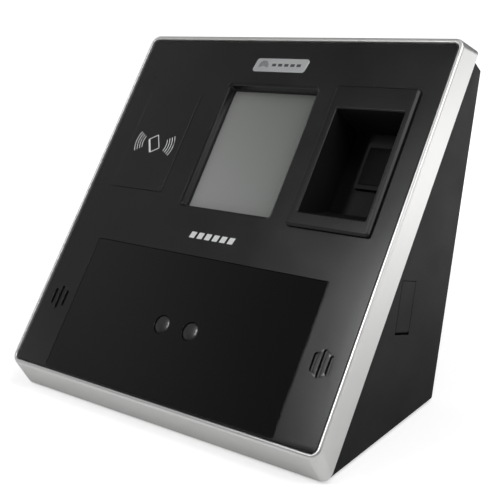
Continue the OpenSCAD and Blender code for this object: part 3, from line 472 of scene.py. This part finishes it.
def make_frame():
    """Silver ring: rounded rim, side walls, and a top and a chin that flare out towards the back."""
    low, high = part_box("silver_frame")
    rim_proud, frame_depth = 0.8 * MM, 14.6 * MM
    rim_side, corner = 1.9 * MM, 3.5 * MM
    chin_front, chin_back = 2 * MM, 8.5 * MM
    top_front, top_flare = 2.3 * MM, 3.4 * MM
    corner_low, corner_taper = 5.4 * MM, 2.4 * MM
    inner_edge, rim_edge, back_edge = 0.3 * MM, 1.2 * MM, 0.4 * MM
    ledge, ledge_t = 4 * MM, 2 * MM
    seat = -PANEL_T - 0.8 * MM
    inner = (low.x + rim_side, high.x - rim_side, -0.3 * MM, PANEL_HEIGHT, corner)

    def outer(z, inset):
        """The outside at a height; its upper corners get tighter towards the back."""
        down = (rim_proud - z) / (rim_proud + frame_depth)
        y0 = -chin_front - down * (chin_back - chin_front)
        y1 = PANEL_HEIGHT + top_front + down * top_flare
        radii = (corner_low, corner_low - corner_taper * down)
        return grow((low.x, high.x, y0, y1, radii), -inset)

    rings = [(inner, seat)] + fillet(inner, rim_proud, inner_edge, -1)[::-1]
    for i in range(9):
        a = i / 8 * math.pi / 2
        z = rim_proud - rim_edge * (1 - math.cos(a))
        rings.append((outer(z, rim_edge * (1 - math.sin(a))), z))
    for i in range(4):
        a = i / 3 * math.pi / 2
        z = -frame_depth + back_edge * (1 - math.sin(a))
        rings.append((outer(z, back_edge * (1 - math.cos(a))), z))
    x0, x1, y0, y1, r = inner
    wide = (x0, x1, 0, y1, r)
    shelf = grow(wide, -ledge)
    rings += [(wide, -frame_depth), (wide, seat - ledge_t)]
    rings += [(shelf, seat - ledge_t), (shelf, seat), (inner, seat)]
    bm = bmesh.new()
    skin(bm, [ring(r, z, 12) for r, z in rings])
    obj = finish_mesh("frame_ring", bm, SILVER)
    settle(obj, replaces=["silver_frame"])


def slot_holes():
    """Three sound slots at each side of the window: a groove, with a narrow slit along its right foot."""
    # (how far from the panel's middle, length)
    places = ((81.6 * MM, 8.8 * MM), (85.8 * MM, 13.1 * MM), (89.9 * MM, 8.8 * MM))
    middle, half_w, depth, end = 38.1 * MM, 1 * MM, 1 * MM, 0.95 * MM
    mouth, slit_left, slit_right, slit_end = 0.2 * MM, 0.3 * MM, 0.9 * MM, 0.28 * MM
    found = []
    for side in (-1, 1):
        for place, length in places:
            x = place * side
            y0, y1 = middle - length / 2, middle + length / 2
            groove = (x - half_w, x + half_w, y0, y1, end)
            slit = (x + slit_left, x + slit_right, y0 + half_w, y1 - half_w, slit_end)
            walls = [(groove, -depth), (slit, -depth), (slit, -PANEL_T)]
            found.append(fillet(groove, 0, mouth, -1) + walls)
    return found


WINDOW_FRONT = -0.05 * MM
WINDOW_RECT = face_rect("ir_window", WINDOW_FRONT, 1.0 * MM)
PAD_RECT = face_rect("card_pad", PLATE_PROUD, 0.8 * MM)
# the display's and the finger well's openings
LCD = (-27.9 * MM, 27.9 * MM, 101.8 * MM, 171.7 * MM, 0.8 * MM)
FINGER = (45.9 * MM, 83.7 * MM, 105.4 * MM, 160.9 * MM, 0.8 * MM)


def display_hole():
    """A shallow lip, sloping sides and the collar behind the panel."""
    collar, lip_outer, lip_inner = (grow(LCD, by * MM) for by in (4, 2, 0.8))
    collar_z = -3.5 * MM
    return [
        (grow(lip_outer, 0.16 * MM), 0),
        (lip_outer, -0.06 * MM),
        (grow(lip_inner, 0.12 * MM), -0.78 * MM),
        (lip_inner, -0.92 * MM),
        (grow(LCD, 0.08 * MM), collar_z + 0.14 * MM),
        (LCD, collar_z),
        (collar, collar_z),
        (collar, -PANEL_T),
    ]


def make_panel():
    """The black moulding with its openings for the display, reader, window, pad and sound."""
    low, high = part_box("front_panel")
    rect = (low.x, high.x, PANEL_LOW, PANEL_HEIGHT - PANEL_GAP, 3.0 * MM)
    x0, x1, y0, y1, r = WINDOW_RECT
    window_seat = (x0 - 0.2 * MM, x1 + 0.25 * MM, y0 - 0.14 * MM, y1 + 0.25 * MM, r)
    microphone_x, microphone_y, microphone_r = -86 * MM, 174.8 * MM, 0.6 * MM
    microphone = (microphone_x - microphone_r, microphone_x + microphone_r,
                  microphone_y - microphone_r, microphone_y + microphone_r, 0.58 * MM)
    holes = [
        display_hole(),
        hole(grow(FINGER, 2 * MM), 0, -PANEL_T, 0.2 * MM),
        hole(window_seat, 0, -PANEL_T, 0.08 * MM),
        hole(grow(PAD_RECT, 0.12 * MM), 0, -PANEL_T, 0.12 * MM),
        hole(microphone, 0, -PANEL_T, 0.1 * MM),
    ]
    obj = plate("panel_moulding", rect, 0, -PANEL_T, 0.7 * MM, BLACK, holes + slot_holes())
    settle(obj, replaces=["front_panel"])


def round_rect(x, y, r):
    """A circle, as a rounded rectangle whose sides are next to nothing."""
    return (x - r, x + r, y - r, y + r, r * 0.999)


def make_window():
    """The dark window, with the two camera lenses set into it."""
    radius, middle, back = 4.9 * MM, 37.4 * MM, -1.6 * MM
    places = {}
    for side in ("left", "right"):
        low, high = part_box("camera_lens_" + side)
        places[side] = (low.x + high.x) / 2
    holes = [hole(round_rect(x, middle, radius), WINDOW_FRONT, back, 0.04 * MM) for x in places.values()]
    obj = plate("window_glass", WINDOW_RECT, WINDOW_FRONT, back, 0.2 * MM, WINDOW, holes, 12)
    settle(obj, replaces=["ir_window"])
    # the dome's rings: (share of the radius, height)
    rim_share, tip_share = 0.99, 0.005
    rim_z, dome_high, foot_z = -0.9 * MM, 0.84 * MM, -1.5 * MM
    profile = [(rim_share, foot_z)]
    for i in range(9):
        a = i / 8 * math.pi / 2
        profile.append((rim_share * math.cos(a) + tip_share, rim_z + dome_high * math.sin(a)))
    for side, x in places.items():
        bm = bmesh.new()
        rings = [ring(round_rect(x, middle, radius * share), z, 12) for share, z in profile]
        close_ends(bm, skin(bm, rings))
        obj = finish_mesh("lens_dome_" + side, bm, LENS)
        settle(obj, replaces=["camera_lens_" + side])


def make_pad():
    """The card pad, with a tilted card between two groups of radio waves printed on it."""
    obj = plate("pad_plate", PAD_RECT, PLATE_PROUD, -0.7 * MM, 0.25 * MM, BLACK)
    settle(obj, replaces=["card_pad"])
    ink = [PLATE_PROUD + rise for rise in INK_RISE]
    bm = bmesh.new()
    # (side, x of the first wave, height of the waves' middle)
    for side, first, middle in ((-1, -73.3 * MM, 134 * MM), (1, -55.3 * MM, 133 * MM)):
        for k in range(4):
            reach = (3.45 + 0.8 * k) * MM
            radius = (8.0 + 1.2 * k) * MM
            half_angle = math.degrees(math.asin(reach / radius))
            centre = first + side * 1.72 * MM * k - side * radius
            facing = 0 if side > 0 else 180
            wave = arc(centre, middle, radius, facing - half_angle, facing + half_angle)
            stroke(bm, wave, 0.45 * MM, *ink)
    card_x, card_y, half_w, half_h = -64.5 * MM, 133.35 * MM, 3.1 * MM, 4.4 * MM
    turn = math.radians(29)
    widths = (0.5 * MM, 0.5 * MM, 0.5 * MM, 1.2 * MM)  # of the card's sides; the last one is its thick edge
    card = []
    for sx, sy in ((-1, -1), (1, -1), (1, 1), (-1, 1)):
        x, y = sx * half_w, sy * half_h
        card.append((card_x + x * math.cos(turn) - y * math.sin(turn),
                     card_y + x * math.sin(turn) + y * math.cos(turn)))
    for i, width in enumerate(widths):
        stroke(bm, [card[i], card[(i + 1) % 4]], width, *ink)
    obj = finish_mesh("card_symbol", bm, INK)
    settle(obj)


def badge_outline(middle, by, z):
    """The badge's rounded, slightly slanted outline, moved out by a distance."""
    slant, half_w, half_h, r = 0.4 * MM, 17.0 * MM, 4.0 * MM, 1.8 * MM
    points = []
    for sx, sy, quarter in ((-1, -1, 2), (1, -1, 3), (1, 1, 0), (-1, 1, 1)):
        cx = sx * (half_w - r) + sy * slant
        cy = middle + sy * (half_h - r)
        for i in range(7):
            a = (quarter + i / 6) * math.pi / 2
            points.append(Vector((cx + (r + by) * math.cos(a), cy + (r + by) * math.sin(a), z)))
    return points


def make_badge():
    """A plain light plate with a generic fingerprint symbol and bars."""
    middle, edge = 185 * MM, 0.2 * MM
    rings = []
    for i in range(4):
        a = i / 3 * math.pi / 2
        z = PLATE_PROUD - edge * (1 - math.cos(a))
        rings.append(badge_outline(middle, -edge * (1 - math.sin(a)), z))
    rings.append(badge_outline(middle, 0, -0.5 * MM))
    bm = bmesh.new()
    close_ends(bm, skin(bm, rings))
    obj = finish_mesh("badge_metal_plate", bm, BADGE)
    settle(obj, replaces=["badge_plate"])
    ink = [PLATE_PROUD + rise for rise in INK_RISE]
    bm = bmesh.new()
    for k in range(4):
        ridge = arc(-11 * MM, middle - 0.6 * MM, (0.6 + 0.75 * k) * MM, -20, 200)
        stroke(bm, ridge, 0.35 * MM, *ink)
    for k in range(5):
        x = (-5.5 + 4 * k) * MM
        stroke(bm, [(x, middle), (x + 2.6 * MM, middle)], 1.6 * MM, *ink)
    obj = finish_mesh("badge_symbol", bm, DARK_INK)
    settle(obj)


def make_mark():
    """A short row of plain white bars under the display, in place of a name."""
    first, step, y = -14.6 * MM, 5.0 * MM, 84 * MM
    wide, high, slant = 3.4 * MM, 3.4 * MM, 1.0 * MM
    bm = bmesh.new()
    for k in range(6):
        x = first + step * k
        quad = [(x, y), (x + wide, y), (x + wide + slant, y + high), (x + slant, y + high)]
        flat_shape(bm, quad, *INK_RISE)
    obj = finish_mesh("front_mark", bm, INK)
    settle(obj)


def screen_material():
    """Unlit display under matt touch glass; its colour grows paler towards its lower left corner, a painted
    reflection.
    """
    m = finish_material("display under touch glass, painted reflection", (0.2, 0.205, 0.2), 0.22, grain=0.15 * MM,
                        relief=0.004 * MM, strength=0.15, vary=0.02, coat=0.6, coat_rough=0.12)
    nodes, links = m.node_tree.nodes, m.node_tree.links
    x0, x1, y0, y1 = LCD[:4]
    place = nodes.new("ShaderNodeTexCoord")
    across = nodes.new("ShaderNodeVectorMath")
    across.operation = "DOT_PRODUCT"
    across.inputs[1].default_value = (0.5, 0.5, 0)
    links.new(place.outputs["Object"], across.inputs[0])
    corners = ((x0 + y0) / 2, (x1 + y1) / 2)
    # painted reflection: the base colour runs from A at the upper right corner to the paler B at the lower
    # left
    mix = nodes.new("ShaderNodeMix")
    mix.data_type = "RGBA"
    mix.inputs["A"].default_value = (0.142, 0.155, 0.142, 1)
    mix.inputs["B"].default_value = (0.345, 0.35, 0.345, 1)
    links.new(map_range(nodes, links, across.outputs["Value"], corners, (1, 0)), mix.inputs["Factor"])
    links.new(mix.outputs["Result"], nodes["Principled BSDF"].inputs["Base Color"])
    return m


def make_display():
    """The touch glass under the opening."""
    low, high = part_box("touch_glass")
    rect = (low.x, high.x, 98.5 * MM, 175 * MM, 0.8 * MM)
    obj = plate("display_glass", rect, -5.2 * MM, -6.3 * MM, 0.1 * MM, screen_material())
    settle(obj, replaces=["touch_glass"])


def make_reader():
    """The raised surround, bevelled all round, and the deep finger well with its ramp."""
    low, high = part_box("fingerprint_bezel")
    flange = (low.x, high.x, 98 * MM, 174 * MM, 1.6 * MM)
    proud, foot, step = 2.5 * MM, -0.02 * MM, 0.2 * MM
    well, ramp, wall, floor_t = -22 * MM, 11 * MM, 1.8 * MM, 2 * MM
    undercut = grow(flange, -0.35 * MM)
    rings = [(undercut, foot), (undercut, step), (flange, step)]
    # (how far in, height) of the bevel round the flange
    bevel = ((0, 1.32 * MM), (0.06 * MM, 1.46 * MM), (0.98 * MM, 2.42 * MM), (1.15 * MM, proud))
    rings += [(grow(flange, -inset), z) for inset, z in bevel]
    rings += fillet(FINGER, proud, 0.9 * MM, -1, 6)
    rings.append((FINGER, -4 * MM))
    x0, x1, y0, y1, r = FINGER
    rings.append(((x0, x1, y0 + ramp, y1, r), well))
    bm = bmesh.new()
    made = skin(bm, [ring(r, z) for r, z in rings])
    holder_low, holder_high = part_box("fingerprint_holder")
    middle = (holder_low.x + holder_high.x) / 2
    half_w = 9.3 * MM
    seat = (middle - half_w, middle + half_w, 129.6 * MM, 154.8 * MM, 0.9 * MM)
    inner = skin(bm, [ring(seat, well), ring(seat, well - floor_t)])
    fill(bm, [made[-1], inner[0]])
    cup = grow(FINGER, wall)
    shell = skin(bm, [ring(cup, well - floor_t), ring(cup, foot)])
    fill(bm, [shell[0], inner[1]])
    fill(bm, [shell[1], made[0]])
    # the faces inside the opening are the well's, and get the second finish, whose darker colour is painted
    # shade
    slack, mouth = 0.1 * MM, 1.2 * MM
    for face in bm.faces:
        deep = face.calc_center_median().z < mouth
        inside = all(x0 - slack < v.co.x < x1 + slack for v in face.verts)
        face.material_index = 1 if deep and inside else 0
    obj = finish_mesh("reader_surround", bm, READER, WELL_PAINTED_SHADE)
    settle(obj, replaces=["fingerprint_bezel"])


make_frame()
make_panel()
make_window()
make_pad()
make_badge()
make_mark()
make_display()
make_reader()


# ---------------------------------------------------------------- CAD pieces that keep their shape

CAD_FINISH = {
    HOUSING: ["rear_housing", "base_plate", "usb_door"],
    PLATEN: ["fingerprint_platen"],
    RUBBER: ["rubber_feet", "panel_seal", "microphone"],
    FOAM: ["lcd_gasket"],
    WELL_PAINTED_SHADE: ["fingerprint_holder"],
    ZINC: ["wall_bracket", "bracket_lock_screw", "display_bracket", "battery_strap", "usb_door_pin",
           "panel_screws", "board_screws", "housing_screws", "base_screws"],
    TIN: ["lcd_module", "processor_shield", "coin_cell", "ethernet_jack", "usb_port", "reset_switch"],
    BRASS: ["board_standoffs"],
    BOARD: ["fingerprint_board", "card_antenna_board", "camera_board", "ir_led_board_left",
            "ir_led_board_right", "main_board", "io_board"],
    CHIP: ["board_components", "coin_cell_holder", "power_jack", "camera_barrel_left",
           "camera_barrel_right", "speaker_left", "speaker_right"],
    FILM: ["display_flex", "camera_flex"],
    RIBBON: ["fingerprint_cable"],
    WIRE_RED: ["speaker_leads", "battery_lead"],
    WIRE_BLACK: ["antenna_lead"],
    WRAP: ["battery_pack"],
    GREEN: ["terminal_block"],
    BLUE: ["tamper_switch"],
    RED: ["reset_button"],
    WHITE: ["tamper_plunger"],
    EPOXY: ["ir_leds"],
}

# nodes whose edges must stay nearly sharp
FINE_EDGED = ("usb_door", "fingerprint_holder", "fingerprint_platen")


def dress(node, material):
    """Gives a CAD node its finish and small rounded edges."""
    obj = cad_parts[node]
    obj.data.materials.clear()
    obj.data.materials.append(material)
    merge = obj.modifiers.new("flat faces", "DECIMATE")
    merge.decimate_type = "DISSOLVE"
    merge.angle_limit = math.radians(1)
    bevel = obj.modifiers.new("soft edges", "BEVEL")
    bevel.width = 0.05 * MM if node in FINE_EDGED else 0.2 * MM
    bevel.segments = 2
    bevel.limit_method = "ANGLE"
    bevel.angle_limit = math.radians(40)
    bevel.harden_normals = True


for finish, nodes_dressed in CAD_FINISH.items():
    for node_name in nodes_dressed:
        dress(node_name, finish)
